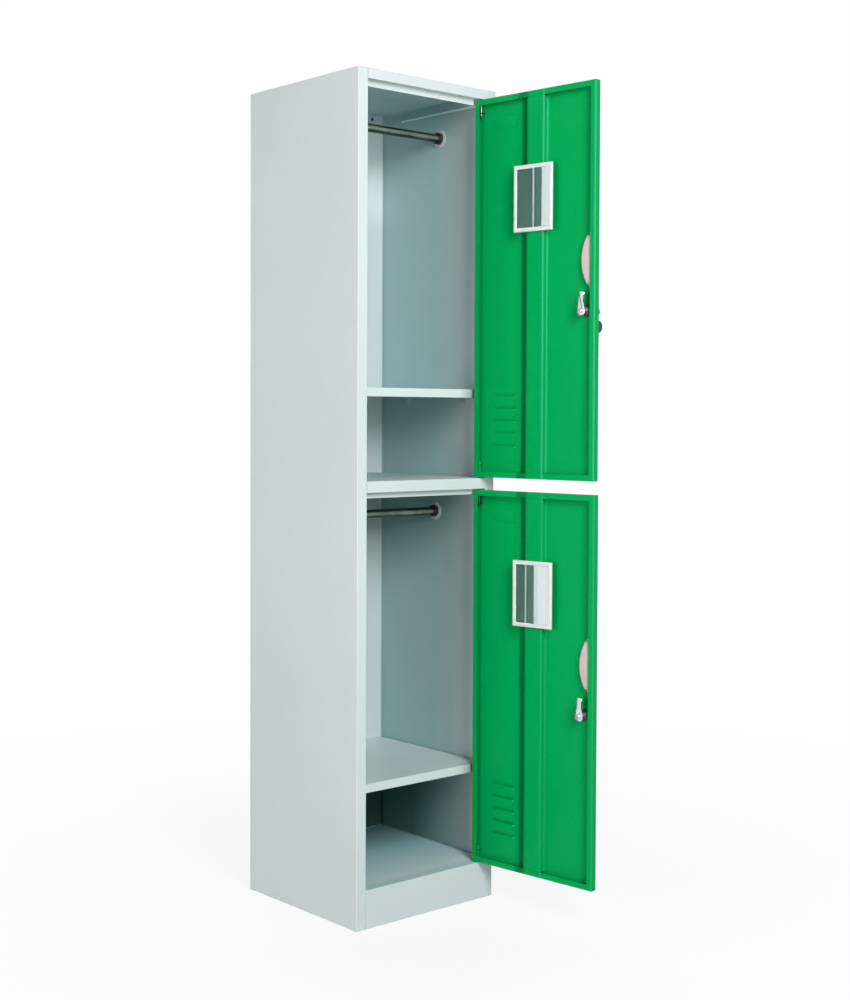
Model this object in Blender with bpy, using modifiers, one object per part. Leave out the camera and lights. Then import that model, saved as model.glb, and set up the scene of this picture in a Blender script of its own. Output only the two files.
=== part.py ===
"""Two-tier steel locker, folded from sheet, with its two pin-hinged doors standing open."""

import math
from collections import namedtuple

import bmesh
import bpy
from mathutils import Matrix, Vector

# Overall size of the closed cabinet
HEIGHT = 1.850
WIDTH = 0.400
DEPTH = 0.400

# Sheet, folds and clearances
SHEET = 0.0008
BEND = 0.0012
BEND_STEPS = 3
SEAT = 0.0003
RUNNING = 0.0002
OVERRUN = 0.002
RELIEF = 0.0015
ROUND_STEPS = 24
FINE_STEPS = 40

# Side panels: the front frame channel, the stop lips and the rear and foot flanges
FLANGE = 0.026
RETURN = 0.018
STOP_LIP = 0.013
HINGE_LIP = 0.004
REAR_FLANGE = 0.018
FOOT = 0.015

# Origin: the middle of the kick plate's foot, on the floor
FRONT = -FOOT / 2
BACK = FRONT + DEPTH
HALF = WIDTH / 2
OPENING_HALF = HALF - FLANGE
PAN_HALF = HALF - SHEET - SEAT
BACK_FACE = BACK - SHEET - SEAT - SHEET
PAN_BACK = BACK_FACE - SEAT
LIP_FACE = FRONT + RETURN
LIP_BACK = LIP_FACE + SHEET

# Top, divider and bottom pans
FASCIA = 0.022
DIVIDER_FASCIA = 0.025
KICK = 0.0845
TOP_LIP = 0.013
DIVIDER_LIP = 0.0125
PAN_FLANGE = 0.025
TOP_FLANGE_STOP = 0.067
LIP_SLOT = 0.0006
TIER = (HEIGHT - FASCIA - DIVIDER_FASCIA - KICK) / 2
DIVIDER_TOP = KICK + TIER + DIVIDER_FASCIA
TIER_FLOORS = {"upper": DIVIDER_TOP, "lower": KICK}
TIER_CEILINGS = {"upper": HEIGHT - FASCIA, "lower": KICK + TIER}

# Doors and their pin hinges
DOOR_SIDE_GAP = 0.003
DOOR_END_GAP = 0.0021
DOOR_THICK = 0.016
DOOR_LIP = 0.013
MITRE_SEAM = 0.0002
DOOR_WIDTH = 2 * OPENING_HALF - 2 * DOOR_SIDE_GAP
DOOR_HEIGHT = TIER - 2 * DOOR_END_GAP
HINGE_IN = 0.0095
HINGE_BACK = 0.0065
HINGE_X = OPENING_HALF - DOOR_SIDE_GAP - HINGE_IN
HINGE_Y = FRONT + HINGE_BACK
LIP_CUTBACK = 0.013
OPEN_ANGLES = {"upper": math.radians(95.5), "lower": math.radians(96.0)}
PIN_RADIUS = 0.003
PIN_INSIDE = 0.036
PIN_OUTSIDE = 0.008
PIN_CHAMFER = 0.0006
BRACKET_SHEET = 0.0015
BRACKET_WIDTH = 0.016
BRACKET_LEG = 0.012
BRACKET_DROP = 0.029

# Door-local faces, measured from the hinge axis
DOOR_OUTER = -HINGE_BACK
DOOR_SKIN = DOOR_OUTER + SHEET
DOOR_INNER = DOOR_THICK - HINGE_BACK
HINGE_EDGE = HINGE_IN
FREE_EDGE = HINGE_IN - DOOR_WIDTH

# Pressed louvres and the embossed label frame
PRESS_IN = 0.043
PRESS_WIDTH = 0.068
LOUVRE_COUNT = 5
LOUVRE_PITCH = 0.028
LOUVRE_HEIGHT = 0.013
LOUVRE_RISE = 0.069
LOUVRE_DEPTH = 0.0045
LOUVRE_END = 0.007
LOUVRE_SLIT = 0.0010
LOUVRE_TONGUE = 0.0025
LOUVRE_TONGUE_IN = 0.003
LOUVRE_CROWN_SHARE = 0.75
LABEL_HEIGHT = 0.031
LABEL_DROP = 0.042
LABEL_LAND = 0.0022
LABEL_SLOPE = 0.0012
LABEL_RAISE = 0.0012

# Hat channel that stiffens a door
CHANNEL_WIDTH = 0.048
CHANNEL_CENTRE = 0.176
CHANNEL_FLANGE = 0.010

# Mirror on the channel, with its glass leaning in a deep frame
MIRROR_CENTRES = {"upper": 0.1755, "lower": 0.1785}
MIRROR_WIDTH = 0.105
MIRROR_HEIGHT = 0.147
MIRROR_BORDER = 0.0088
MIRROR_LOW_RIM = 0.0045
MIRROR_LEANS = {"upper": math.radians(2.6), "lower": math.radians(3.2)}
MIRROR_BACKING = 0.0015
MIRROR_GLASS = 0.0020
MIRROR_DROPS = {"upper": 0.1625, "lower": 0.1520}

# Recessed finger pull
PULL_HEIGHT = 0.136
PULL_WIDTH = 0.030
PULL_WALL = 0.0014
PULL_BRIM = 0.004
PULL_TAPER = 0.0020
PULL_ROUND = 0.0045
PULL_DEPTH = 0.0120
PULL_CLEAR = 0.0014
PULL_POINTS = 20
PULL_TIP_SHARE = 0.80
PULL_TURN_SHARE = 0.78
PULL_DROPS = {"upper": 0.380, "lower": 0.3699}

# Cam lock
LOCK_IN = 0.0325
LOCK_BELOW_PULL = 0.109
BARREL_RADIUS = 0.0095
BARREL_BACK = 0.0200
BEZEL_RADIUS = 0.0120
BEZEL_PROUD = 0.003
BEZEL_CHAMFER = 0.0008
PLUG_RADIUS = 0.0060
NUT_RADIUS = 0.0128
NUT_THICK = 0.004
CAM_THICK = 0.002
CAM_CLEAR = 0.0005
CAM_UP = 0.040
CAM_DOWN = 0.010
CAM_HALF = 0.0105
CAM_TIP_HALF = 0.0065
CAM_HOOK = 0.004
CAM_END_SHARE = 0.6
CAM_CORNER_SHARE = 0.5
CAM_SHOULDER_SHARE = 0.45
STUB_RADIUS = 0.0036
SCREW_RADIUS = 0.0016
SCREW_DEPTH = 0.008
SCREW_HEAD = 0.0045
SCREW_HEAD_THICK = 0.0028

# Key, split ring and spare key of the upper lock
KEY_THICK = 0.0010
KEY_SLOT = 0.0014
KEY_HALF = 0.0036
KEY_INSIDE = 0.0155
KEY_TEETH = 5
KEY_TOOTH = 0.0012
KEY_BOW_RADIUS = 0.0095
SPARE_BOW_RADIUS = 0.0135
BOW_THICK = 0.0045
BOW_CENTRE = 0.034
KEY_HOLE_OUT = 0.0055
SPARE_HOLE_OUT = 0.0095
BOW_HOLE_RADIUS = 0.0025
BOW_CHAMFER = 0.0008
BLADE_IN_BOW = 0.005
RING_MEAN = 0.0102
RING_WIRE = 0.0008
SPARE_BLADE = 0.022
RING_CLEAR = 0.0006

# Shelves and their clips
SHELF_RISES = {"upper": 0.20225, "lower": 0.2225}
SHELF_FRONT = 0.028
SHELF_FOLD = 0.0195
SHELF_HEM = 0.010
SHELF_FLANGE = 0.015
SHELF_SIDE_GAP = 0.0006
CLIP_SHEET = 0.0012
CLIP_WIDTH = 0.016
CLIP_HEIGHT = 0.014
CLIP_LEG = 0.012
CLIP_FRONT = 0.105
CLIP_REAR = 0.300

# Hanging rods and sockets
ROD_RADIUS = 0.0095
ROD_WALL = 0.0012
ROD_DROPS = {"upper": 0.0605, "lower": 0.06075}
ROD_BACKS = {"upper": 0.189, "lower": 0.200}
SOCKET_RADIUS = 0.0215
SOCKET_PLATE = 0.003
SOCKET_CUP = 0.0135
SOCKET_DEPTH = 0.013
SOCKET_CHAMFER = 0.0010

# Screws through the top pan's rear flange
TOP_SCREW_FROM_SIDE = 0.041
TOP_SCREW_DROP = 0.012
TOP_SCREW_SHANK = 0.002
TOP_SCREW_HEAD = 0.004
TOP_SCREW_HEAD_THICK = 0.0022

FINISHES = {
    "cabinet_grey": ((0.62, 0.65, 0.64), 0.0, 0.45),
    "door_green": ((0.0, 0.38, 0.08), 0.0, 0.35),
    "white_plastic": ((0.85, 0.87, 0.87), 0.0, 0.35),
    "beige_plastic": ((0.75, 0.60, 0.55), 0.0, 0.40),
    "black_plastic": ((0.02, 0.02, 0.02), 0.0, 0.40),
    "mirror_glass": ((0.90, 0.93, 0.92), 1.0, 0.03),
    "steel": ((0.55, 0.54, 0.52), 1.0, 0.30),
    "chrome": ((0.80, 0.80, 0.82), 1.0, 0.12),
}

Leg = namedtuple("Leg", "turn length start end")


def clear_scene():
    for thing in list(bpy.data.objects):
        bpy.data.objects.remove(thing)


def collection(name, hidden):
    group = bpy.data.collections.new(name)
    group.hide_render = hidden
    bpy.context.scene.collection.children.link(group)
    return group


def finish_material(node, finish):
    """A Principled material of the node's own."""
    colour, metallic, roughness = FINISHES[finish]
    material = bpy.data.materials.new(node)
    material.use_nodes = True
    surface = material.node_tree.nodes["Principled BSDF"]
    surface.inputs["Base Color"].default_value = (*colour, 1.0)
    surface.inputs["Metallic"].default_value = metallic
    surface.inputs["Roughness"].default_value = roughness
    return material


def node_object(name, shape, finish, carrier=None):
    """Turns a finished bmesh into a node of the locker."""
    mesh = bpy.data.meshes.new(name)
    shape.to_mesh(mesh)
    shape.free()
    thing = bpy.data.objects.new(name, mesh)
    LOCKER.objects.link(thing)
    mesh.materials.append(finish_material(name, finish))
    thing.parent = carrier
    return thing


def face_outwards(shape):
    """Turns a closed shape's faces outwards."""
    bmesh.ops.recalc_face_normals(shape, faces=shape.faces[:])
    if shape.calc_volume(signed=True) < 0:
        bmesh.ops.reverse_faces(shape, faces=shape.faces[:])


def cutter_object(name, shape, carrier=None):
    mesh = bpy.data.meshes.new(name)
    face_outwards(shape)
    shape.to_mesh(mesh)
    shape.free()
    thing = bpy.data.objects.new(name, mesh)
    CUTTERS.objects.link(thing)
    thing.hide_render = True
    thing.display_type = "WIRE"
    thing.parent = carrier
    return thing


def cut(thing, cutter):
    boolean = thing.modifiers.new(cutter.name, "BOOLEAN")
    boolean.operation = "DIFFERENCE"
    boolean.solver = "EXACT"
    boolean.object = cutter


def thicken(thing, thickness):
    """Gives a folded skin its sheet thickness, behind its outer face."""
    solid = thing.modifiers.new("sheet", "SOLIDIFY")
    solid.thickness = thickness
    solid.offset = -1.0
    solid.use_even_offset = True


def facing(origin, across, up):
    """Where a drawing lies: its two axes, and its outer face along their cross product."""
    first = Vector(across)
    second = Vector(up)
    third = first.cross(second)
    turned = Matrix((first, second, third)).transposed().to_4x4()
    return Matrix.Translation(Vector(origin)) @ turned


def setback(turn):
    return BEND * math.tan(math.radians(abs(turn)) / 2)


class Blank:
    """A flat blank, drawn anticlockwise on its outer face, with flanges folded along its straight edges."""

    def __init__(self, outline):
        self.outline = [Vector(point) for point in outline]
        self.folds = {}
        self.shape = bmesh.new()
        self.base = None

    def fold(self, edge, *legs):
        self.folds[edge] = legs

    def side(self, edge):
        """The start of an edge, its direction, the way out of the blank, and its length."""
        start = self.outline[edge]
        along = self.outline[(edge + 1) % len(self.outline)] - start
        length = along.length
        along = along / length
        return start, along, Vector((along.y, -along.x)), length

    def vertex(self, flat, height=0.0):
        return self.shape.verts.new((flat.x, flat.y, height))

    def rows(self, legs):
        """Each line across a fold: how far out and down it lies, its ends, and those of the next leg."""
        out = -setback(legs[0].turn)
        down = 0.0
        heading = 0.0
        rows = []
        for number, step in enumerate(legs):
            follower = legs[number + 1] if number + 1 < len(legs) else None
            half = math.radians(step.turn) / BEND_STEPS / 2
            chord = 2 * BEND * math.sin(abs(half))
            for _ in range(BEND_STEPS if step.turn else 0):
                heading += half
                out += chord * math.cos(heading)
                down += chord * math.sin(heading)
                heading += half
                rows.append((out, down, step.start, step.start))
            straight = step.length - setback(step.turn)
            if follower:
                straight -= setback(follower.turn)
            out += straight * math.cos(heading)
            down += straight * math.sin(heading)
            rows.append((out, down, step.end, follower.start if follower else step.end))
        return rows

    def draw_base(self):
        """The base face, with its folded edges drawn back to where their bends begin."""
        corners = [point.copy() for point in self.outline]
        for edge, legs in self.folds.items():
            _, _, outward, _ = self.side(edge)
            for corner in (edge, (edge + 1) % len(corners)):
                corners[corner] -= outward * setback(legs[0].turn)
        verts = [self.vertex(point) for point in corners]
        ring = []
        ends = {}
        for edge, corner in enumerate(corners):
            ring.append(verts[edge])
            if edge not in self.folds:
                continue
            start, along, outward, length = self.side(edge)
            first_leg = self.folds[edge][0]
            line = start - outward * setback(first_leg.turn)
            near = line + along * first_leg.start[0]
            far = line + along * (length - first_leg.start[1])
            near_vert = verts[edge]
            if (near - corner).length > RUNNING / 2:
                near_vert = self.vertex(near)
                ring.append(near_vert)
            far_vert = verts[(edge + 1) % len(corners)]
            if (far - corners[(edge + 1) % len(corners)]).length > RUNNING / 2:
                far_vert = self.vertex(far)
                ring.append(far_vert)
            ends[edge] = (near_vert, far_vert)
        self.base = self.shape.faces.new(ring)
        return ends

    def draw(self):
        ends = self.draw_base()
        for edge, legs in self.folds.items():
            start, along, outward, length = self.side(edge)
            first_line = list(ends[edge])
            for out, down, insets, onward in self.rows(legs):
                line = start + outward * out
                places = (insets[0], length - insets[1], onward[0], length - onward[1])
                near, far, near_onward, far_onward = [line + along * place for place in places]
                last_line = [self.vertex(near, -down), self.vertex(far, -down)]
                next_line = list(last_line)
                if onward[0] > insets[0] + RUNNING / 4:
                    next_line[0] = self.vertex(near_onward, -down)
                    last_line.insert(1, next_line[0])
                if onward[1] > insets[1] + RUNNING / 4:
                    next_line[-1] = self.vertex(far_onward, -down)
                    last_line.insert(-1, next_line[-1])
                if onward[0] < insets[0] - RUNNING / 4:
                    next_line.insert(0, self.vertex(near_onward, -down))
                if onward[1] < insets[1] - RUNNING / 4:
                    next_line.append(self.vertex(far_onward, -down))
                self.shape.faces.new([*reversed(first_line), *last_line])
                first_line = next_line
        return self.shape


def folded(name, blank, place, finish, carrier=None, sheet=SHEET, mirrored=False):
    """Draws a folded blank where it belongs and gives it its thickness."""
    shape = blank.draw() if blank.base is None else blank.shape
    shape.transform(place)
    if mirrored:
        shape.transform(Matrix.Scale(-1.0, 4, (1.0, 0.0, 0.0)))
        bmesh.ops.reverse_faces(shape, faces=shape.faces[:])
    thing = node_object(name, shape, finish, carrier)
    thicken(thing, sheet)
    return thing


def leg(turn, length, start=(0.0, 0.0), end=None):
    return Leg(turn, length, start, start if end is None else end)


def rod_cutter(name, radius, centre, axis, length, carrier=None):
    """A round cutter that runs its length to both sides of its centre."""
    shape = bmesh.new()
    bmesh.ops.create_cone(
        shape,
        cap_ends=True,
        segments=ROUND_STEPS,
        radius1=radius,
        radius2=radius,
        depth=2 * length,
    )
    turned = Vector((0.0, 0.0, 1.0)).rotation_difference(Vector(axis)).to_matrix().to_4x4()
    shape.transform(Matrix.Translation(Vector(centre)) @ turned)
    return cutter_object(name, shape, carrier)


def box_shape(low, high):
    shape = bmesh.new()
    bmesh.ops.create_cube(shape, size=1.0)
    low, high = Vector(low), Vector(high)
    size = Matrix.Diagonal((*(high - low), 1.0))
    shape.transform(Matrix.Translation((low + high) / 2) @ size)
    face_outwards(shape)
    return shape


def turned_part(name, profile, finish, place, carrier=None, steps=ROUND_STEPS, closed=False):
    """A part from the lathe: its profile is radius and height, run down the outside from top to bottom."""
    shape = bmesh.new()
    verts = [shape.verts.new((radius, 0.0, height)) for radius, height in profile]
    for first, second in zip(verts, verts[1:]):
        shape.edges.new((first, second))
    if closed:
        shape.edges.new((verts[-1], verts[0]))
    thing = node_object(name, shape, finish, carrier)
    thing.matrix_local = place
    screw = thing.modifiers.new("lathe", "SCREW")
    screw.steps = steps
    screw.render_steps = steps
    screw.use_merge_vertices = True
    screw.merge_threshold = SEAT / 10
    screw.use_smooth_shade = False
    return thing


def pressed_plate(outline, place, thickness):
    """A flat plate cut to an outline, its thickness behind its outer face."""
    shape = bmesh.new()
    face = shape.faces.new([shape.verts.new((point[0], point[1], 0.0)) for point in outline])
    made = bmesh.ops.extrude_face_region(shape, geom=[face])["geom"]
    back = [item for item in made if isinstance(item, bmesh.types.BMVert)]
    bmesh.ops.translate(shape, verts=back, vec=(0.0, 0.0, -thickness))
    face_outwards(shape)
    shape.transform(place)
    return shape


# Cabinet


def side_panel(name, lip, mirrored):
    """One sheet: wall, front frame channel with its lip, rear flange and foot flange."""
    notch = 2 * BEND
    foot_start = LIP_BACK + RELIEF
    foot_end = BACK - REAR_FLANGE
    outline = [
        (FRONT, 0.0),
        (foot_start - RELIEF, 0.0),
        (foot_start - RELIEF, notch),
        (foot_start, notch),
        (foot_start, 0.0),
        (foot_end, 0.0),
        (foot_end, notch),
        (foot_end + RELIEF, notch),
        (foot_end + RELIEF, 0.0),
        (BACK, 0.0),
        (BACK, HEIGHT),
        (FRONT, HEIGHT),
    ]
    wall = Blank(outline)
    channel = (SHEET + SEAT, 0.0)
    wall.fold(4, leg(90, FOOT))
    wall.fold(9, leg(90, REAR_FLANGE))
    wall.fold(11, leg(90, FLANGE, channel), leg(90, RETURN, channel), leg(-90, lip, channel))
    place = facing((HALF, 0.0, 0.0), (0, 1, 0), (0, 0, 1))
    return folded(name, wall, place, "cabinet_grey", mirrored=mirrored)


def back_panel():
    outline = [(-PAN_HALF, 0.0), (PAN_HALF, 0.0), (PAN_HALF, HEIGHT), (-PAN_HALF, HEIGHT)]
    place = facing((0.0, BACK - SHEET - SEAT, 0.0), (-1, 0, 0), (0, 0, 1))
    return node_object("back_panel", pressed_plate(outline, place, SHEET), "cabinet_grey")


def pan_front(fascia, lip):
    """The fold that makes a fascia, its return and the stop lip, cut back at the hinge."""
    full = (SEAT, SEAT)
    at_lip = (STOP_LIP + SEAT, OPENING_HALF - HINGE_X + LIP_CUTBACK)
    return leg(90, fascia, full), leg(90, RETURN, full), leg(-90, lip, at_lip)


def top_panel():
    """A pan whose plate also closes the frame channels, folded down behind them on three sides."""
    front_relief = FRONT + 2 * BEND
    side_start = LIP_BACK + SEAT
    outline = [
        (-PAN_HALF, FRONT),
        (-OPENING_HALF - RELIEF, FRONT),
        (-OPENING_HALF - RELIEF, front_relief),
        (-OPENING_HALF, front_relief),
        (-OPENING_HALF, FRONT),
        (OPENING_HALF, FRONT),
        (OPENING_HALF, front_relief),
        (OPENING_HALF + RELIEF, front_relief),
        (OPENING_HALF + RELIEF, FRONT),
        (PAN_HALF, FRONT),
        (PAN_HALF, PAN_BACK),
        (-PAN_HALF, PAN_BACK),
    ]
    pan = Blank(outline)
    pan.fold(4, *pan_front(FASCIA, TOP_LIP))
    pan.fold(9, leg(90, PAN_FLANGE, (side_start - FRONT, TOP_FLANGE_STOP)))
    pan.fold(10, leg(90, PAN_FLANGE, (BEND, BEND)))
    pan.fold(11, leg(90, PAN_FLANGE, (TOP_FLANGE_STOP, side_start - FRONT)))
    place = facing((0.0, 0.0, HEIGHT), (1, 0, 0), (0, 1, 0))
    return folded("top_panel", pan, place, "cabinet_grey")


def floor_outline():
    """The plan of a pan that stands between the frame channels, with slots for the stop lips."""
    slot_front = LIP_FACE - LIP_SLOT
    slot_back = LIP_BACK + LIP_SLOT
    behind_lip = OPENING_HALF - STOP_LIP - LIP_SLOT
    behind_hinge = OPENING_HALF - HINGE_LIP - LIP_SLOT
    front_half = OPENING_HALF - SEAT
    return [
        (-front_half, FRONT),
        (front_half, FRONT),
        (front_half, slot_front),
        (behind_hinge, slot_front),
        (behind_hinge, slot_back),
        (PAN_HALF, slot_back),
        (PAN_HALF, PAN_BACK),
        (-PAN_HALF, PAN_BACK),
        (-PAN_HALF, slot_back),
        (-behind_lip, slot_back),
        (-behind_lip, slot_front),
        (-front_half, slot_front),
    ]


def floor_pan(name, top, front_legs):
    pan = Blank(floor_outline())
    pan.fold(0, *front_legs)
    pan.fold(5, leg(90, PAN_FLANGE, (RELIEF, BEND)))
    pan.fold(6, leg(90, PAN_FLANGE, (BEND, BEND)))
    pan.fold(7, leg(90, PAN_FLANGE, (BEND, RELIEF)))
    place = facing((0.0, 0.0, top), (1, 0, 0), (0, 1, 0))
    return folded(name, pan, place, "cabinet_grey")


def middle_divider():
    at_lip = (STOP_LIP, OPENING_HALF - SEAT - HINGE_X + LIP_CUTBACK)
    front = (leg(90, DIVIDER_FASCIA), leg(90, RETURN), leg(-90, DIVIDER_LIP, at_lip))
    return floor_pan("middle_divider", DIVIDER_TOP, front)


def bottom_panel():
    return floor_pan("bottom_panel", KICK, (leg(90, KICK), leg(90, FOOT)))


def shelf_top(tier):
    return TIER_FLOORS[tier] + SHELF_RISES[tier]


def shelf(tier):
    """A folded tray: a deep hemmed front fold, and shallow flanges at the sides and back."""
    half = HALF - SHEET - SHELF_SIDE_GAP
    front = FRONT + SHELF_FRONT
    rear = PAN_BACK - SEAT
    tray = Blank([(-half, front), (half, front), (half, rear), (-half, rear)])
    corner = (BEND, BEND)
    side_start = 2 * BEND
    tray.fold(0, leg(90, SHELF_FOLD, corner), leg(90, SHELF_HEM, corner))
    tray.fold(1, leg(90, SHELF_FLANGE, (side_start, BEND)))
    tray.fold(2, leg(90, SHELF_FLANGE, corner))
    tray.fold(3, leg(90, SHELF_FLANGE, (BEND, side_start)))
    place = facing((0.0, 0.0, shelf_top(tier)), (1, 0, 0), (0, 1, 0))
    return folded(f"{tier}_shelf", tray, place, "cabinet_grey")


def shelf_clip(tier, side, position, behind):
    """A folded angle against the wall, its upper leg under the shelf's side flange."""
    top = shelf_top(tier) - SHELF_FLANGE - SEAT
    middle = FRONT + behind
    wall = Blank(
        [
            (middle - CLIP_WIDTH / 2, top - CLIP_HEIGHT),
            (middle + CLIP_WIDTH / 2, top - CLIP_HEIGHT),
            (middle + CLIP_WIDTH / 2, top),
            (middle - CLIP_WIDTH / 2, top),
        ]
    )
    wall.fold(2, leg(90, CLIP_LEG))
    place = facing((PAN_HALF, 0.0, 0.0), (0, 1, 0), (0, 0, 1))
    name = f"{tier}_shelf_clip_{side}_{position}"
    return folded(name, wall, place, "steel", sheet=CLIP_SHEET, mirrored=side == "left")


def rod_level(tier):
    return TIER_CEILINGS[tier] - ROD_DROPS[tier]


def hanging_rod(tier):
    """A steel tube whose ends sit in the two sockets."""
    end = HALF - SHEET - SEAT - SOCKET_PLATE - SEAT
    inner = ROD_RADIUS - ROD_WALL
    profile = [(ROD_RADIUS, end), (ROD_RADIUS, -end), (inner, -end), (inner, end)]
    place = facing((0.0, FRONT + ROD_BACKS[tier], rod_level(tier)), (0, 1, 0), (0, 0, 1))
    return turned_part(f"{tier}_hanging_rod", profile, "steel", place, closed=True)


def rod_socket(tier, side):
    """A plastic cup with a round flange that holds one end of a rod."""
    bore = ROD_RADIUS + SEAT
    profile = [
        (0.0, SOCKET_PLATE),
        (bore, SOCKET_PLATE),
        (bore, SOCKET_DEPTH),
        (SOCKET_CUP - SOCKET_CHAMFER, SOCKET_DEPTH),
        (SOCKET_CUP, SOCKET_DEPTH - SOCKET_CHAMFER),
        (SOCKET_CUP, SOCKET_PLATE),
        (SOCKET_RADIUS - SOCKET_CHAMFER, SOCKET_PLATE),
        (SOCKET_RADIUS, SOCKET_PLATE - SOCKET_CHAMFER),
        (SOCKET_RADIUS, 0.0),
        (0.0, 0.0),
    ]
    away = -1 if side == "right" else 1
    origin = (-away * PAN_HALF, FRONT + ROD_BACKS[tier], rod_level(tier))
    place = facing(origin, (0, away, 0), (0, 0, 1))
    return turned_part(f"{tier}_{side}_rod_socket", profile, "white_plastic", place)


def top_screw(side):
    """A pan-head screw through the top pan's rear flange and the back panel."""
    head_seat = TOP_SCREW_HEAD_THICK
    shank = SHEET + SEAT + SHEET + SEAT
    profile = [
        (0.0, head_seat),
        (TOP_SCREW_HEAD / 2, head_seat),
        (TOP_SCREW_HEAD, head_seat / 2),
        (TOP_SCREW_HEAD, 0.0),
        (TOP_SCREW_SHANK, 0.0),
        (TOP_SCREW_SHANK, -shank - SEAT),
        (0.0, -shank - SEAT),
    ]
    away = HALF - TOP_SCREW_FROM_SIDE
    across = away if side == "right" else -away
    origin = (across, PAN_BACK - SHEET - SEAT, HEIGHT - TOP_SCREW_DROP)
    place = facing(origin, (1, 0, 0), (0, 0, 1))
    turned_part(f"top_panel_screw_{side}", profile, "steel", place)
    name = f"top_screw_hole_{side}"
    return rod_cutter(name, TOP_SCREW_SHANK + RUNNING, origin, (0, 1, 0), SHEET + SHEET + OVERRUN)


def cabinet():
    side_panel("right_side_panel", HINGE_LIP, False)
    side_panel("left_side_panel", STOP_LIP, True)
    back = back_panel()
    top = top_panel()
    divider = middle_divider()
    bottom = bottom_panel()
    for side in ("left", "right"):
        hole = top_screw(side)
        cut(top, hole)
        cut(back, hole)
    middle = (HINGE_X, HINGE_Y, HEIGHT / 2)
    pin_reach = HEIGHT / 2 - SHEET - SHEET
    pin_hole = rod_cutter("hinge_pin_holes", PIN_RADIUS + RUNNING, middle, (0, 0, 1), pin_reach)
    for pan in (top, divider, bottom):
        cut(pan, pin_hole)
    for tier in ("upper", "lower"):
        shelf(tier)
        hanging_rod(tier)
        for side in ("left", "right"):
            rod_socket(tier, side)
            shelf_clip(tier, side, "front", CLIP_FRONT)
            shelf_clip(tier, side, "rear", CLIP_REAR)


# Doors


def split_line(shape, faces, point, normal):
    """Cuts some faces along a line and returns all that lie in their place afterwards."""
    geometry = list(faces)
    for face in faces:
        geometry.extend(face.edges)
        geometry.extend(face.verts)
    cutting = bmesh.ops.bisect_plane(
        shape, geom=list(set(geometry)), dist=RUNNING / 10, plane_co=point, plane_no=normal
    )
    return [item for item in cutting["geom"] if isinstance(item, bmesh.types.BMFace)]


def press_louvre(shape, cell):
    """Presses one cell out into a hood, lanced along its foot, with a tongue left behind the slit."""
    upwards = sorted(cell.verts, key=lambda vert: vert.co.y)
    low_left, low_right = sorted(upwards[:2], key=lambda vert: vert.co.x)
    high_left, high_right = sorted(upwards[2:], key=lambda vert: vert.co.x)
    shape.faces.remove(cell)
    sill = next(edge for edge in low_left.link_edges if edge.other_vert(low_left) is low_right)
    sill, near = bmesh.utils.edge_split(sill, low_left, LOUVRE_TONGUE_IN / PRESS_WIDTH)
    sill = next(edge for edge in near.link_edges if edge.other_vert(near) is low_right)
    beyond = LOUVRE_TONGUE_IN / (PRESS_WIDTH - LOUVRE_TONGUE_IN)
    sill, far = bmesh.utils.edge_split(sill, low_right, beyond)
    tongue_top = low_left.co.y + LOUVRE_TONGUE
    tongue = [shape.verts.new((vert.co.x, tongue_top, 0.0)) for vert in (far, near)]
    shape.faces.new([near, far, *tongue])
    left = low_left.co.x + LOUVRE_END
    right = low_right.co.x - LOUVRE_END
    low = low_left.co.y
    high = high_left.co.y
    crown = high - LOUVRE_END
    waist = (crown + low) / 2
    crown_row = (crown, LOUVRE_DEPTH * LOUVRE_CROWN_SHARE)
    rows = (crown_row, (waist, LOUVRE_DEPTH), (low + LOUVRE_SLIT, LOUVRE_DEPTH))
    lefts = [shape.verts.new((left, y, depth)) for y, depth in rows]
    rights = [shape.verts.new((right, y, depth)) for y, depth in rows]
    shape.faces.new([high_left, lefts[0], rights[0], high_right])
    for row in range(len(rows) - 1):
        shape.faces.new([lefts[row], lefts[row + 1], rights[row + 1], rights[row]])
    shape.faces.new([high_left, low_left, *reversed(lefts)])
    shape.faces.new([high_right, *rights, low_right])


def press_label_frame(shape, cell):
    """Embosses a rectangular frame outwards, leaving its field flat."""
    for thickness, depth in (
        (LABEL_SLOPE, LABEL_RAISE),
        (LABEL_LAND, 0.0),
        (LABEL_SLOPE, -LABEL_RAISE),
    ):
        bmesh.ops.inset_individual(
            shape, faces=[cell], thickness=thickness, depth=depth, use_even_offset=True
        )


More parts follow.
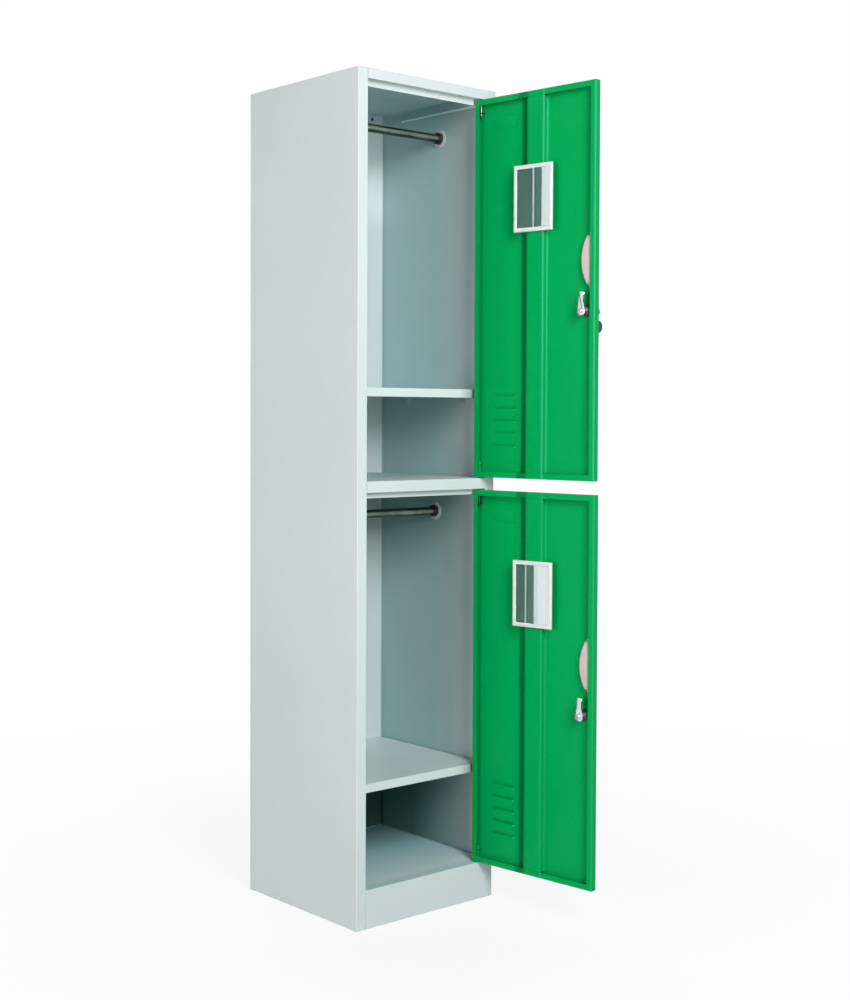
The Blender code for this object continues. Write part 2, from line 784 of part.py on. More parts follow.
def door_panel(tier, carrier):
    """A pan folded twice on all four sides, with louvres and a label frame pressed into its skin."""
    pan = Blank([(FREE_EDGE, 0.0), (HINGE_EDGE, 0.0), (HINGE_EDGE, DOOR_HEIGHT), (FREE_EDGE, DOOR_HEIGHT)])
    relieved = (BEND, BEND)
    butt = (MITRE_SEAM, MITRE_SEAM)
    seam = (BEND + MITRE_SEAM + MITRE_SEAM, BEND + MITRE_SEAM + MITRE_SEAM)
    side_mitre = (DOOR_LIP + MITRE_SEAM + MITRE_SEAM, DOOR_LIP + MITRE_SEAM + MITRE_SEAM)
    for edge in (1, 3):
        pan.fold(
            edge,
            leg(90, BEND + SHEET, relieved),
            leg(0, DOOR_THICK - BEND - SHEET, butt),
            leg(90, DOOR_LIP, seam, side_mitre),
        )
    for edge in (0, 2):
        pan.fold(edge, leg(90, DOOR_THICK, relieved), leg(90, DOOR_LIP, relieved, (DOOR_LIP, DOOR_LIP)))
    shape = pan.draw()
    press_right = HINGE_EDGE - PRESS_IN
    press_left = press_right - PRESS_WIDTH
    faces = [pan.base]
    for across in (press_left, press_right):
        faces = split_line(shape, faces, (across, 0.0, 0.0), (1.0, 0.0, 0.0))
    column = [face for face in faces if press_left < face.calc_center_median().x < press_right]
    louvre_lows = [LOUVRE_RISE + LOUVRE_PITCH * number for number in range(LOUVRE_COUNT)]
    label_high = DOOR_HEIGHT - LABEL_DROP
    label_low = label_high - LABEL_HEIGHT
    levels = [label_low, label_high]
    for low in louvre_lows:
        levels += [low, low + LOUVRE_HEIGHT]
    for level in levels:
        column = split_line(shape, column, (0.0, level, 0.0), (0.0, 1.0, 0.0))
    for low in louvre_lows:
        middle = low + LOUVRE_HEIGHT / 2
        cell = min(column, key=lambda face: abs(face.calc_center_median().y - middle))
        column.remove(cell)
        press_louvre(shape, cell)
    middle = label_low + LABEL_HEIGHT / 2
    label = min(column, key=lambda face: abs(face.calc_center_median().y - middle))
    press_label_frame(shape, label)
    place = facing((0.0, DOOR_OUTER, 0.0), (1, 0, 0), (0, 0, 1))
    return folded(f"{tier}_door_panel", pan, place, "door_green", carrier)


def stiffener(tier, carrier):
    """A hat channel between the top and bottom lips, its face level with them."""
    half = CHANNEL_WIDTH / 2
    low = DOOR_LIP + SEAT
    high = DOOR_HEIGHT - DOOR_LIP - SEAT
    face = Blank([(-half, low), (half, low), (half, high), (-half, high)])
    wall = DOOR_INNER - DOOR_SKIN - SEAT - SHEET
    for edge in (1, 3):
        face.fold(edge, leg(90, wall), leg(-90, CHANNEL_FLANGE))
    middle = HINGE_EDGE - CHANNEL_CENTRE
    place = facing((middle, DOOR_INNER, 0.0), (-1, 0, 0), (0, 0, 1))
    return folded(f"{tier}_door_stiffener", face, place, "door_green", carrier)


def leaned(shape, left, above, lean):
    """Raises what lies above a level, the more the nearer it is to the hinge."""
    for vert in shape.verts:
        if vert.co.y > above + RUNNING:
            vert.co.y += (vert.co.x - left) * math.tan(lean)
    return shape


def mirror(tier, carrier):
    """A deep tray whose rim rises towards the hinge, with the glass leaning in it."""
    border = MIRROR_BORDER
    lean = MIRROR_LEANS[tier]
    middle = HINGE_EDGE - MIRROR_CENTRES[tier]
    left = middle - MIRROR_WIDTH / 2
    right = middle + MIRROR_WIDTH / 2
    top = DOOR_HEIGHT - MIRROR_DROPS[tier]
    low = top - MIRROR_HEIGHT
    seat = DOOR_INNER + SEAT
    rise = MIRROR_WIDTH * math.tan(lean)
    rim = seat + MIRROR_LOW_RIM
    frame = leaned(box_shape((left, seat, low), (right, rim, top)), left, seat, lean)
    thing = node_object(f"{tier}_door_mirror_frame", frame, "white_plastic", carrier)
    floor = seat + MIRROR_BACKING
    hollow_low = (left + border, floor, low + border)
    hollow = leaned(box_shape(hollow_low, (right - border, rim + rise, top - border)), left, 0.0, lean)
    cut(thing, cutter_object(f"{tier}_mirror_recess", hollow, carrier))
    glass_low = (left + border + SEAT, floor + SEAT, low + border + SEAT)
    glass_high = (right - border - SEAT, floor + SEAT + MIRROR_GLASS, top - border - SEAT)
    glass = leaned(box_shape(glass_low, glass_high), left, 0.0, lean)
    return node_object(f"{tier}_door_mirror_glass", glass, "mirror_glass", carrier)


def pull_outline(grow, depth):
    """The pull's outline at one depth: a slice of a circle with blunt tips, flat towards the free edge."""
    wide = PULL_WIDTH - 2 * PULL_WALL
    tall = PULL_HEIGHT / 2 - PULL_WALL
    flat = FREE_EDGE + DOOR_LIP + PULL_WALL + PULL_TAPER / 2
    circle = (tall**2 + wide**2) / (2 * wide)
    centre = flat + wide - circle
    radius = circle + grow
    chord = circle - wide - grow
    reach = math.acos(chord / radius)
    points = [(flat - grow, depth, -radius * math.sin(reach) * PULL_TIP_SHARE)]
    for number in range(PULL_POINTS + 1):
        turn = PULL_TURN_SHARE * reach * (2 * number / PULL_POINTS - 1)
        points.append((centre + radius * math.cos(turn), depth, radius * math.sin(turn)))
    points.append((flat - grow, depth, radius * math.sin(reach) * PULL_TIP_SHARE))
    return points


def pull(tier, carrier, panel):
    """A moulded cup let into the skin from outside, with a brim on the door's face."""
    face = DOOR_OUTER - SEAT - SEAT - PULL_WALL
    bottom = face + PULL_DEPTH
    sections = (
        (PULL_BRIM, face),
        (0.0, face),
        (-PULL_TAPER / 2, bottom - PULL_ROUND),
        (-PULL_TAPER, bottom - PULL_ROUND / 3),
        (-PULL_TAPER - PULL_ROUND / 2, bottom),
    )
    shape = bmesh.new()
    loops = [[shape.verts.new(point) for point in pull_outline(*section)] for section in sections]
    for outer, inner in zip(loops, loops[1:]):
        for first in range(len(outer)):
            second = (first + 1) % len(outer)
            shape.faces.new([outer[first], outer[second], inner[second], inner[first]])
    floor = shape.faces.new(loops[-1])
    bmesh.ops.recalc_face_normals(shape, faces=shape.faces[:])
    if floor.normal.y > 0:
        bmesh.ops.reverse_faces(shape, faces=shape.faces[:])
    middle = Matrix.Translation((0.0, 0.0, DOOR_HEIGHT - PULL_DROPS[tier]))
    shape.transform(middle)
    thicken(node_object(f"{tier}_door_pull", shape, "beige_plastic", carrier), PULL_WALL)
    outline = [(across, up) for across, _, up in pull_outline(PULL_WALL + PULL_CLEAR, 0.0)]
    through = facing((0.0, DOOR_OUTER - OVERRUN, 0.0), (1, 0, 0), (0, 0, 1))
    opening = pressed_plate(outline, middle @ through, SHEET + 2 * OVERRUN)
    cut(panel, cutter_object(f"{tier}_pull_opening", opening, carrier))


def lock_place(tier):
    """The lock's axis on the door's outer face, pointing out of it."""
    level = DOOR_HEIGHT - PULL_DROPS[tier] - LOCK_BELOW_PULL
    return facing((FREE_EDGE + LOCK_IN, DOOR_OUTER, level), (1, 0, 0), (0, 0, 1))


def lock_body(tier, carrier, panel):
    """A threaded barrel with a bezel on the door's face, and the nut that draws it tight."""
    bore = PLUG_RADIUS + RUNNING
    profile = [
        (bore, BEZEL_PROUD),
        (BEZEL_RADIUS - BEZEL_CHAMFER, BEZEL_PROUD),
        (BEZEL_RADIUS, BEZEL_PROUD - BEZEL_CHAMFER),
        (BEZEL_RADIUS, SEAT),
        (BARREL_RADIUS, SEAT),
        (BARREL_RADIUS, -BARREL_BACK),
        (bore, -BARREL_BACK),
    ]
    place = lock_place(tier)
    turned_part(f"{tier}_door_lock_body", profile, "chrome", place, carrier, closed=True)
    centre = place.translation
    hole = BARREL_RADIUS + SEAT
    cut(panel, rod_cutter(f"{tier}_lock_hole", hole, centre, (0, 1, 0), SHEET + OVERRUN, carrier))
    front = DOOR_SKIN + SEAT
    nut = bmesh.new()
    bmesh.ops.create_cone(
        nut, cap_ends=True, segments=6, radius1=NUT_RADIUS, radius2=NUT_RADIUS, depth=NUT_THICK
    )
    seated = facing((centre.x, front + NUT_THICK / 2, centre.z), (1, 0, 0), (0, 0, 1))
    nut.transform(seated)
    thing = node_object(f"{tier}_door_lock_nut", nut, "steel", carrier)
    middle = (centre.x, front, centre.z)
    nut_reach = NUT_THICK + OVERRUN
    cut(thing, rod_cutter(f"{tier}_nut_bore", hole, middle, (0, 1, 0), nut_reach, carrier))


def lock_plug(tier, turning):
    """The turning plug, slotted for the key, with a stub behind for the cam."""
    back = BARREL_BACK + CAM_CLEAR
    stub_end = back + CAM_THICK - SEAT
    deep = stub_end - SCREW_DEPTH
    bore = SCREW_RADIUS + RUNNING
    profile = [
        (0.0, BEZEL_PROUD - RUNNING),
        (PLUG_RADIUS, BEZEL_PROUD - RUNNING),
        (PLUG_RADIUS, -back),
        (STUB_RADIUS, -back),
        (STUB_RADIUS, -stub_end),
        (bore, -stub_end),
        (bore, -deep),
        (0.0, -deep),
    ]
    thing = turned_part(f"{tier}_door_lock_plug", profile, "steel", Matrix.Identity(4), turning)
    slot_deep = KEY_INSIDE - BEZEL_PROUD
    slot_low = (-KEY_SLOT / 2, -KEY_HALF - RUNNING, -slot_deep)
    slot_high = (KEY_SLOT / 2, KEY_HALF + RUNNING, BEZEL_PROUD + OVERRUN)
    cut(thing, cutter_object(f"{tier}_keyway", box_shape(slot_low, slot_high), turning))


def lock_cam(tier, turning):
    """A flat tongue on the plug's stub, with a hooked tip, and the screw that holds it."""
    back = BARREL_BACK + CAM_CLEAR + RUNNING
    shoulder = CAM_UP * CAM_SHOULDER_SHARE
    end = CAM_HALF * CAM_END_SHARE
    corner = CAM_DOWN * CAM_CORNER_SHARE
    outline = [
        (-end, -CAM_DOWN),
        (end, -CAM_DOWN),
        (CAM_HALF, -corner),
        (CAM_HALF, corner),
        (CAM_TIP_HALF, shoulder),
        (CAM_TIP_HALF, CAM_UP - CAM_HOOK),
        (CAM_TIP_HALF - CAM_HOOK / 2, CAM_UP),
        (-CAM_TIP_HALF - CAM_HOOK / 2, CAM_UP),
        (-CAM_TIP_HALF - CAM_HOOK, CAM_UP - CAM_HOOK),
        (-CAM_TIP_HALF, CAM_UP - 2 * CAM_HOOK),
        (-CAM_TIP_HALF, shoulder),
        (-CAM_HALF, corner),
        (-CAM_HALF, -corner),
    ]
    plate = pressed_plate(outline, Matrix.Translation((0.0, 0.0, -back)), CAM_THICK)
    thing = node_object(f"{tier}_door_lock_cam", plate, "chrome", turning)
    middle = (0.0, 0.0, -back)
    hole_reach = CAM_THICK + OVERRUN
    cut(thing, rod_cutter(f"{tier}_cam_hole", STUB_RADIUS + SEAT, middle, (0, 0, 1), hole_reach, turning))
    seat = back + CAM_THICK + SEAT
    tip = back + CAM_THICK - SCREW_DEPTH + OVERRUN
    profile = [
        (0.0, -tip),
        (SCREW_RADIUS, -tip),
        (SCREW_RADIUS, -seat),
        (SCREW_HEAD, -seat),
        (SCREW_HEAD, -seat - SCREW_HEAD_THICK / 2),
        (SCREW_HEAD / 2, -seat - SCREW_HEAD_THICK),
        (0.0, -seat - SCREW_HEAD_THICK),
    ]
    turned_part(f"{tier}_door_cam_screw", profile, "steel", Matrix.Identity(4), turning)


def key_blade_shape(root, tip):
    """A flat blade in the plane across the lock, its lower edge cut into teeth towards the tip."""
    length = root - tip
    outline = [(KEY_HALF, root), (KEY_HALF, tip + KEY_HALF / 2), (KEY_HALF / 2, tip)]
    outline.append((-KEY_HALF / 2, tip))
    pitch = length / 2 / KEY_TEETH
    for number in range(KEY_TEETH):
        start = tip + KEY_HALF / 2 + number * pitch
        outline.append((-KEY_HALF, start))
        outline.append((-KEY_HALF + KEY_TOOTH, start + pitch / 2))
    outline.append((-KEY_HALF, tip + KEY_HALF / 2 + KEY_TEETH * pitch))
    outline.append((-KEY_HALF, root))
    place = facing((KEY_THICK / 2, 0.0, 0.0), (0, 1, 0), (0, 0, 1))
    return pressed_plate(outline, place, KEY_THICK)


def bow(name, carrier, radius, centre, hole, slot_low, slot_high):
    """A round plastic bow on edge across the door, with its ring hole and the slot that holds the blade."""
    half = BOW_THICK / 2
    profile = [
        (0.0, half),
        (radius - BOW_CHAMFER, half),
        (radius, half - BOW_CHAMFER),
        (radius, BOW_CHAMFER - half),
        (radius - BOW_CHAMFER, -half),
        (0.0, -half),
    ]
    place = facing(centre, (0, 1, 0), (0, 0, 1))
    thing = turned_part(name, profile, "black_plastic", place, carrier)
    cut(thing, rod_cutter(f"{name}_ring_hole", BOW_HOLE_RADIUS, hole, (1, 0, 0), BOW_THICK, carrier))
    cut(thing, cutter_object(f"{name}_blade_slot", box_shape(slot_low, slot_high), carrier))


def upper_key(turning):
    """The key in the upper plug."""
    near_rim = BOW_CENTRE - KEY_BOW_RADIUS
    root = near_rim + BLADE_IN_BOW
    shape = key_blade_shape(root, BEZEL_PROUD - KEY_INSIDE + SEAT)
    node_object("upper_door_key_blade", shape, "steel", turning)
    slot_low = (-KEY_THICK / 2 - SEAT, -KEY_HALF - SEAT, near_rim - OVERRUN)
    slot_high = (KEY_THICK / 2 + SEAT, KEY_HALF + SEAT, root + SEAT)
    centre = (0.0, 0.0, BOW_CENTRE)
    hole = (0.0, 0.0, BOW_CENTRE + KEY_HOLE_OUT)
    bow("upper_door_key_bow", turning, KEY_BOW_RADIUS, centre, hole, slot_low, slot_high)


def key_ring(swinging):
    """The wire ring, hanging in the key's hole, its pivot at the wire's centre there."""
    ring = bpy.data.curves.new("key_ring_path", "CURVE")
    ring.dimensions = "3D"
    ring.resolution_u = 1
    ring.bevel_depth = RING_WIRE
    ring.bevel_resolution = 1
    spline = ring.splines.new("POLY")
    spline.points.add(FINE_STEPS - 1)
    for number, point in enumerate(spline.points):
        turn = 2 * math.pi * number / FINE_STEPS
        point.co = (RING_MEAN * math.sin(turn), 0.0, RING_MEAN * math.cos(turn) - RING_MEAN, 1.0)
    spline.use_cyclic_u = True
    guide = bpy.data.objects.new("key_ring_guide", ring)
    CUTTERS.objects.link(guide)
    guide.hide_render = True
    bpy.context.view_layer.update()
    shape = bmesh.new()
    shape.from_mesh(bpy.data.meshes.new_from_object(guide))
    bpy.data.objects.remove(guide)
    bmesh.ops.remove_doubles(shape, verts=shape.verts[:], dist=SEAT / 10)
    face_outwards(shape)
    return node_object("key_ring", shape, "chrome", swinging)


def spare_key(swinging):
    """The second key, hanging from the ring by its bow; its pivot is the ring's wire."""
    hole_below = BOW_HOLE_RADIUS - RING_WIRE - RING_CLEAR
    centre = -hole_below - SPARE_HOLE_OUT
    near_rim = centre - SPARE_BOW_RADIUS
    root = near_rim + BLADE_IN_BOW
    shape = key_blade_shape(root, near_rim - SPARE_BLADE)
    node_object("spare_key_blade", shape, "steel", swinging)
    slot_low = (-KEY_THICK / 2 - SEAT, -KEY_HALF - SEAT, near_rim - OVERRUN)
    slot_high = (KEY_THICK / 2 + SEAT, KEY_HALF + SEAT, root + SEAT)
    middle = (0.0, 0.0, centre)
    hole = (0.0, 0.0, -hole_below)
    bow("spare_key_bow", swinging, SPARE_BOW_RADIUS, middle, hole, slot_low, slot_high)


def hinge_pins(tier, carrier, panel):
    """A steel pin at each end of the hinge edge, each held by a folded bracket inside the door."""
    radius = PIN_RADIUS
    length = PIN_INSIDE + PIN_OUTSIDE
    profile = [
        (0.0, 0.0),
        (radius - PIN_CHAMFER, 0.0),
        (radius, -PIN_CHAMFER),
        (radius, PIN_CHAMFER - length),
        (radius - PIN_CHAMFER, -length),
        (0.0, -length),
    ]
    top = Matrix.Translation((0.0, 0.0, DOOR_HEIGHT + PIN_OUTSIDE))
    bottom = Matrix.Translation((0.0, 0.0, PIN_INSIDE))
    turned_part(f"{tier}_door_top_pin", profile, "steel", top, carrier)
    turned_part(f"{tier}_door_bottom_pin", profile, "steel", bottom, carrier)
    middle = (0.0, 0.0, DOOR_HEIGHT / 2)
    ends = rod_cutter(f"{tier}_door_pin_holes", radius + RUNNING, middle, (0, 0, 1), DOOR_HEIGHT, carrier)
    cut(panel, ends)
    right = HINGE_EDGE - SHEET - SEAT
    front = DOOR_SKIN + SEAT
    rear = DOOR_INNER - SHEET - SEAT
    for end, level, up in (("top", DOOR_HEIGHT - BRACKET_DROP, 1), ("bottom", BRACKET_DROP, -1)):
        left = right - BRACKET_WIDTH
        plate = Blank([(left, front), (right, front), (right, rear), (left, rear)])
        plate.fold(1, leg(90, BRACKET_LEG))
        place = Matrix.Translation((0.0, 0.0, level))
        bracket = folded(
            f"{tier}_door_{end}_pin_bracket", plate, place, "steel", carrier, sheet=BRACKET_SHEET
        )
        if up < 0:
            turn_over = Matrix.Translation((0.0, 0.0, level)) @ Matrix.Scale(-1.0, 4, (0.0, 0.0, 1.0))
            bracket.data.transform(turn_over @ Matrix.Translation((0.0, 0.0, -level)))
            bracket.data.flip_normals()
        cut(bracket, ends)


def carrier_empty(name, place, parent=None):
    """An empty on a joint's axis, which carries all that turns about it."""
    empty = bpy.data.objects.new(name, None)
    LOCKER.objects.link(empty)
    empty.parent = parent
    empty.matrix_local = place
    return empty


def door(tier):
    floor = TIER_FLOORS[tier] + DOOR_END_GAP
    place = Matrix.Translation((HINGE_X, HINGE_Y, floor)) @ Matrix.Rotation(OPEN_ANGLES[tier], 4, "Z")
    carrier = carrier_empty(f"{tier}_door_axis", place)
    panel = door_panel(tier, carrier)
    stiffener(tier, carrier)
    mirror(tier, carrier)
    pull(tier, carrier, panel)
    hinge_pins(tier, carrier, panel)
    lock_body(tier, carrier, panel)
    turning = carrier_empty(f"{tier}_lock_axis", lock_place(tier), carrier)
    lock_plug(tier, turning)
    lock_cam(tier, turning)
    return turning


def keys(turning):
    upper_key(turning)
    wire_drop = BOW_HOLE_RADIUS - RING_WIRE - RING_CLEAR
    upright = facing((0.0, 0.0, BOW_CENTRE + KEY_HOLE_OUT), (1, 0, 0), (0, 0, -1))
    ring_place = upright @ Matrix.Translation((0.0, 0.0, -wire_drop))
    ring_axis = carrier_empty("key_ring_axis", ring_place, turning)
    key_ring(ring_axis)
    spare_place = Matrix.Translation((0.0, 0.0, -2 * RING_MEAN))
    spare_axis = carrier_empty("spare_key_axis", spare_place, ring_axis)
    spare_key(spare_axis)


clear_scene()
LOCKER = collection("two_tier_locker", False)
CUTTERS = collection("two_tier_locker_cutters", True)
cabinet()
upper_lock = door("upper")
door("lower")
keys(upper_lock)
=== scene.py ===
"""Looks of the two-tier locker: smoothed sheet metal, moulded fittings, finishes, studio and camera."""

import math

import bpy
from mathutils import Matrix, Vector


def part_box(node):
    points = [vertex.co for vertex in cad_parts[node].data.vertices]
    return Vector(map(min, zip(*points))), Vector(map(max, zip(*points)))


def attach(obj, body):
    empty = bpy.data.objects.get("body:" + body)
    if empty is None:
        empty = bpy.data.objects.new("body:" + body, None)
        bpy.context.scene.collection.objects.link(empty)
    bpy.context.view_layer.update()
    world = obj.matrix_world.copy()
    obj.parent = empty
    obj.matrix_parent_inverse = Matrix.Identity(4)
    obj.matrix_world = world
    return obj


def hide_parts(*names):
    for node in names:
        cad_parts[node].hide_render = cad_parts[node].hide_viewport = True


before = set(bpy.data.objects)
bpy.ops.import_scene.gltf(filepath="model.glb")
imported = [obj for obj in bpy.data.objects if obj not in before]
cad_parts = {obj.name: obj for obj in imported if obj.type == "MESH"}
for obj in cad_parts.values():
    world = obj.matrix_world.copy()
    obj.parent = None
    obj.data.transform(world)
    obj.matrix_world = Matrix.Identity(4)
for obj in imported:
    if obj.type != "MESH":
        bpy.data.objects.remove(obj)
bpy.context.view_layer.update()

TIERS = ("upper", "lower")
SHELF_SIDES = (("left", "front"), ("left", "rear"), ("right", "front"), ("right", "rear"))
HINGE = Vector((0.1615, -0.001, 0.0))
DOOR_FLOORS = {"upper": 0.97085, "lower": 0.0866}
OPEN_ANGLES = {"upper": math.radians(95.5), "lower": math.radians(96.0)}

# Places on a door, measured from its hinge axis
LOCK_IN = -0.300
DOOR_OUTER = -0.0065
DOOR_INNER = 0.0095
DOOR_REACH = 0.3325
CHANNEL_FOOT = -0.0050
CHANNEL_SIDES = (0.1425, 0.1905)
CAM_SEAT = -0.0230

# Lock barrel, its heights measured from the door's outer face
BORE_RADIUS = 0.0062
BEZEL_BACK = -0.0004
THREAD_RADIUS = 0.0095
THREAD_ROOT = 0.0089
THREAD_PITCH = 0.0010
THREAD_END = -0.0188
BARREL_END = -0.0200

# Small fittings
WELD = 0.000005
ROD_RADIUS = 0.0095
SOCKET_SEAT = 0.1989
SOCKET_FACE = 0.0031
SOCKET_SCREW_LEVELS = (-0.0172, 0.0172)
PANEL_HEAD = 0.0022
# The top pins are the same steel; the upper one's lighter copy and the lower one's blackened copy are
# painted light and shade
TOP_PINS_LIT_AND_SHADED = {"upper": "hinge_steel", "lower": "black_steel"}
RING_RADIUS = 0.0102
RING_WIRE = 0.00042
RING_STEP = 0.00078

# Where the cabinet's faces begin, and where the outer sides of its sheets begin
WALL_FACE = (0.1987, 0.1990)
BACK_FACE = (0.389, 0.3902)
SIDE_OUTSIDE = (0.1994, 0.1998)
BACK_OUTSIDE = (0.3909, 0.3911)
TOP_OUTSIDE = (1.8494, 1.8498)
ON_FLOOR = (0.0830, 0.0847)
OVER_FLOOR = (0.0847, 0.0860)

# Painted light and shade: what the coat's tone is multiplied by, place by place
PAINTED_LIGHT_AND_SHADE = {
    "rear": (1.28, 1.03, 1.02),
    "rear_upper_light": (1.22, 1.20, 1.20),
    "walls": (0.91, 0.93, 0.92),
    "lower_walls": (0.86, 0.89, 0.88),
    "below_divider": (0.75, 0.79, 0.77),
    "floor": (0.88, 1.02, 1.05),
    "floor_rear": (0.50, 0.56, 0.56),
    "lower_cubby": (0.185, 0.315, 0.29),
    "lower_cubby_back": (0.24, 0.33, 0.32),
    "crease_shade": (0.36, 0.50, 0.49),
    "hem_highlight": (2.3, 2.0, 2.0),
    "shelf_end_shadow": (0.46, 0.52, 0.51),
    "channel_shadow": (0.58, 0.58, 0.58),
}
# Painted light near the mouth, and a darker, greener painted shade further in
PAINTED_LIGHT_NEAR_MOUTH = (1.26, 1.18, 1.17)
PAINTED_SHADE_DEEP_INSIDE = (0.71, 0.90, 0.91)

# The doors' painted highlight over their bends, and how much of it each door shows
PAINTED_BEND_HIGHLIGHT = (0.030, 0.400, 0.190)
BEND_HIGHLIGHT_SHARES = {"upper": 0.85, "lower": 0.35}

# Studio and camera
FLOOR_SIZE = 60.0
GLOW_REACH = (0.4, 2.4)
GLOW_AT_FOOT = 0.86
AIR = (0.098, 0.142, 0.142)
FRONT_LIGHT = (1.0, 0.92, 0.93)
SIDE_LIGHT = (1.0, 0.868, 0.835)
REAR_LIGHT = (1.0, 0.97, 0.96)
LAMPS = {
    "key_softbox": ((-1.1, -2.9, 2.35), (0.0, 0.0, 1.1), (1.1, 1.6), 113.0, FRONT_LIGHT),
    "low_softbox": ((-1.3, -4.0, 1.1), (0.0, 0.0, 1.0), (1.2, 1.2), 25.0, FRONT_LIGHT),
    "side_softbox": ((-4.0, -0.3, 0.95), (-0.1, 0.0, 0.7), (2.2, 2.2), 91.0, SIDE_LIGHT),
    "rear_softbox": ((1.6, 4.6, 2.4), (0.0, 0.2, 0.9), (2.4, 2.4), 95.0, REAR_LIGHT),
    "right_softbox": ((4.4, 0.9, 2.4), (0.2, 0.2, 0.9), (2.2, 2.2), 60.0, REAR_LIGHT),
}
CAMERA_PLACE = (-2.259, -2.5925, 1.111)
CAMERA_YAW = math.radians(41.03)
CAMERA_PITCH = math.radians(1.65)
CAMERA_ROLL = math.radians(0.23)
CAMERA_LENS = 55.82
CAMERA_SHIFT = -0.04


# Shader maths


class Wire:
    """A value on its way through a finish, so that shader maths reads as plain sums."""

    def __init__(self, finish, socket):
        self.finish = finish
        self.socket = socket

    def sum(self, operation, first, second):
        return self.finish.node("ShaderNodeMath", {"operation": operation}, {0: first, 1: second})

    def __add__(self, other):
        return self.sum("ADD", self, other)

    def __sub__(self, other):
        return self.sum("SUBTRACT", self, other)

    def __rsub__(self, other):
        return self.sum("SUBTRACT", other, self)

    def __mul__(self, other):
        return self.sum("MULTIPLY", self, other)

    def __pow__(self, other):
        return self.sum("POWER", self, other)

    __radd__ = __add__

    def size(self):
        return self.sum("ABSOLUTE", self, 0.0)

    def between(self, low, high):
        """0 below low, 1 above high and straight in between."""
        values = {0: self, 1: low, 2: high, 3: 0.0, 4: 1.0}
        return self.finish.node("ShaderNodeMapRange", {"clamp": True}, values)

    def within(self, low, high, soft):
        """1 from low to high, and fading out over a soft edge on both sides."""
        return self.between(low - soft, low) * (1.0 - self.between(high, high + soft))


class Finish:
    """A material, or the studio's air, whose nodes all come from one method."""

    def __init__(self, holder, surface="Principled BSDF", **sockets):
        self.holder = holder
        holder.use_nodes = True
        self.tree = holder.node_tree
        self.surface = self.tree.nodes[surface]
        self.set(**sockets)

    def feed(self, socket, value):
        if isinstance(value, Wire):
            self.tree.links.new(value.socket, socket)
        elif socket.type == "RGBA" and len(value) == 3:
            socket.default_value = (*value, 1.0)
        else:
            socket.default_value = value

    def node(self, kind, settings=None, values=None, output=0):
        made = self.tree.nodes.new(kind)
        for key, setting in (settings or {}).items():
            setattr(made, key, setting)
        for key, value in (values or {}).items():
            self.feed(made.inputs[key], value)
        return Wire(self, made.outputs[output])

    def set(self, **sockets):
        for key, value in sockets.items():
            self.feed(self.surface.inputs[key.replace("_", " ")], value)

    def place(self, stretch=(1.0, 1.0, 1.0)):
        """The point in the locker's own frame, in metres, stretched for a grain."""
        point = self.node("ShaderNodeTexCoord", output="Object")
        if stretch == (1.0, 1.0, 1.0):
            return point
        return self.node("ShaderNodeMapping", None, {"Vector": point, "Scale": stretch})

    def spot(self):
        """How far across, back and up the point is, as three wires."""
        apart = self.node("ShaderNodeSeparateXYZ", None, {0: self.place()}).socket.node
        return [Wire(self, socket) for socket in apart.outputs]

    def noise(self, scale, detail=2.0, stretch=(1.0, 1.0, 1.0)):
        values = {"Vector": self.place(stretch), "Scale": scale, "Detail": detail}
        return self.node("ShaderNodeTexNoise", None, values)

    def mix(self, first, second, share, blend="MIX"):
        values = {0: share, 6: first, 7: second}
        return self.node("ShaderNodeMix", {"data_type": "RGBA", "blend_type": blend}, values, output=2)

    def with_painted_light_and_shade(self, tone, tint, share):
        """The tone multiplied by one named mark of painted light and shade, as far as the share goes.
        """
        return self.mix(tone, PAINTED_LIGHT_AND_SHADE[tint], share, "MULTIPLY")

    def bump(self, height, distance, strength):
        values = {"Height": height, "Distance": distance, "Strength": strength}
        return self.node("ShaderNodeBump", None, values)

    def seen(self):
        """1 where the camera looks straight, by a reflection or through, 0 for light that bounces."""
        straight, mirrored, through = (
            self.node("ShaderNodeLightPath", output=f"Is {way} Ray")
            for way in ("Camera", "Glossy", "Transmission")
        )
        return straight + mirrored + through


# Finishes


def material(name):
    return bpy.data.materials.new(name)


def shade(colour, amount):
    return tuple(min(1.0, part * amount) for part in colour)


def powder_coat(name, colour, gloss, sheen, painted_light_step=None):
    """Sprayed and baked paint: a fine orange peel, a slow drift in tone, faint handling marks."""
    coat = Finish(material(name), Specular_IOR_Level=sheen)
    drift = coat.noise(2.6, 3.0).between(0.3, 0.7)
    cloud = coat.noise(34.0, 2.0).between(0.3, 0.7)
    tone = coat.mix(shade(colour, 0.965), shade(colour, 1.025), drift * 0.75 + cloud * 0.25)
    peel = coat.noise(820.0, 1.5)
    handled = coat.noise(11.0, 4.0, (1.0, 1.0, 0.45)).between(0.45, 0.8)
    # An optional step paints light and shade into the tone
    if painted_light_step:
        tone = painted_light_step(coat, tone)
    coat.set(Base_Color=tone, Roughness=gloss + cloud * 0.05 + handled * 0.10)
    coat.set(Normal=coat.bump(peel, 0.00012, 0.35))
    return coat.holder


def with_painted_crease_shade(coat, tone):
    """Inside, a painted shade darkens the coat in the creases along the side walls."""
    across, back, up = coat.spot()
    aside = across.size()
    crease_shade = aside.between(0.1925, 0.1960) * (1.0 - aside.between(*WALL_FACE))
    crease_shade = crease_shade * back.within(0.045, BACK_OUTSIDE[0], 0.0002)
    crease_shade = crease_shade * (1.0 - up.between(1.815, 1.824) * 0.7) * (1.0 - up.between(*TOP_OUTSIDE))
    return coat.with_painted_light_and_shade(tone, "crease_shade", crease_shade)


def with_painted_shelf_end_shadow(coat, tone):
    """A painted shadow darkens a shelf's front fold towards its hinge-side end, close behind the frame.
    """
    across, back = coat.spot()[:2]
    end = across.between(0.118, 0.160) * (1.0 - back.between(0.024, 0.050))
    return with_painted_crease_shade(coat, coat.with_painted_light_and_shade(tone, "shelf_end_shadow", end))


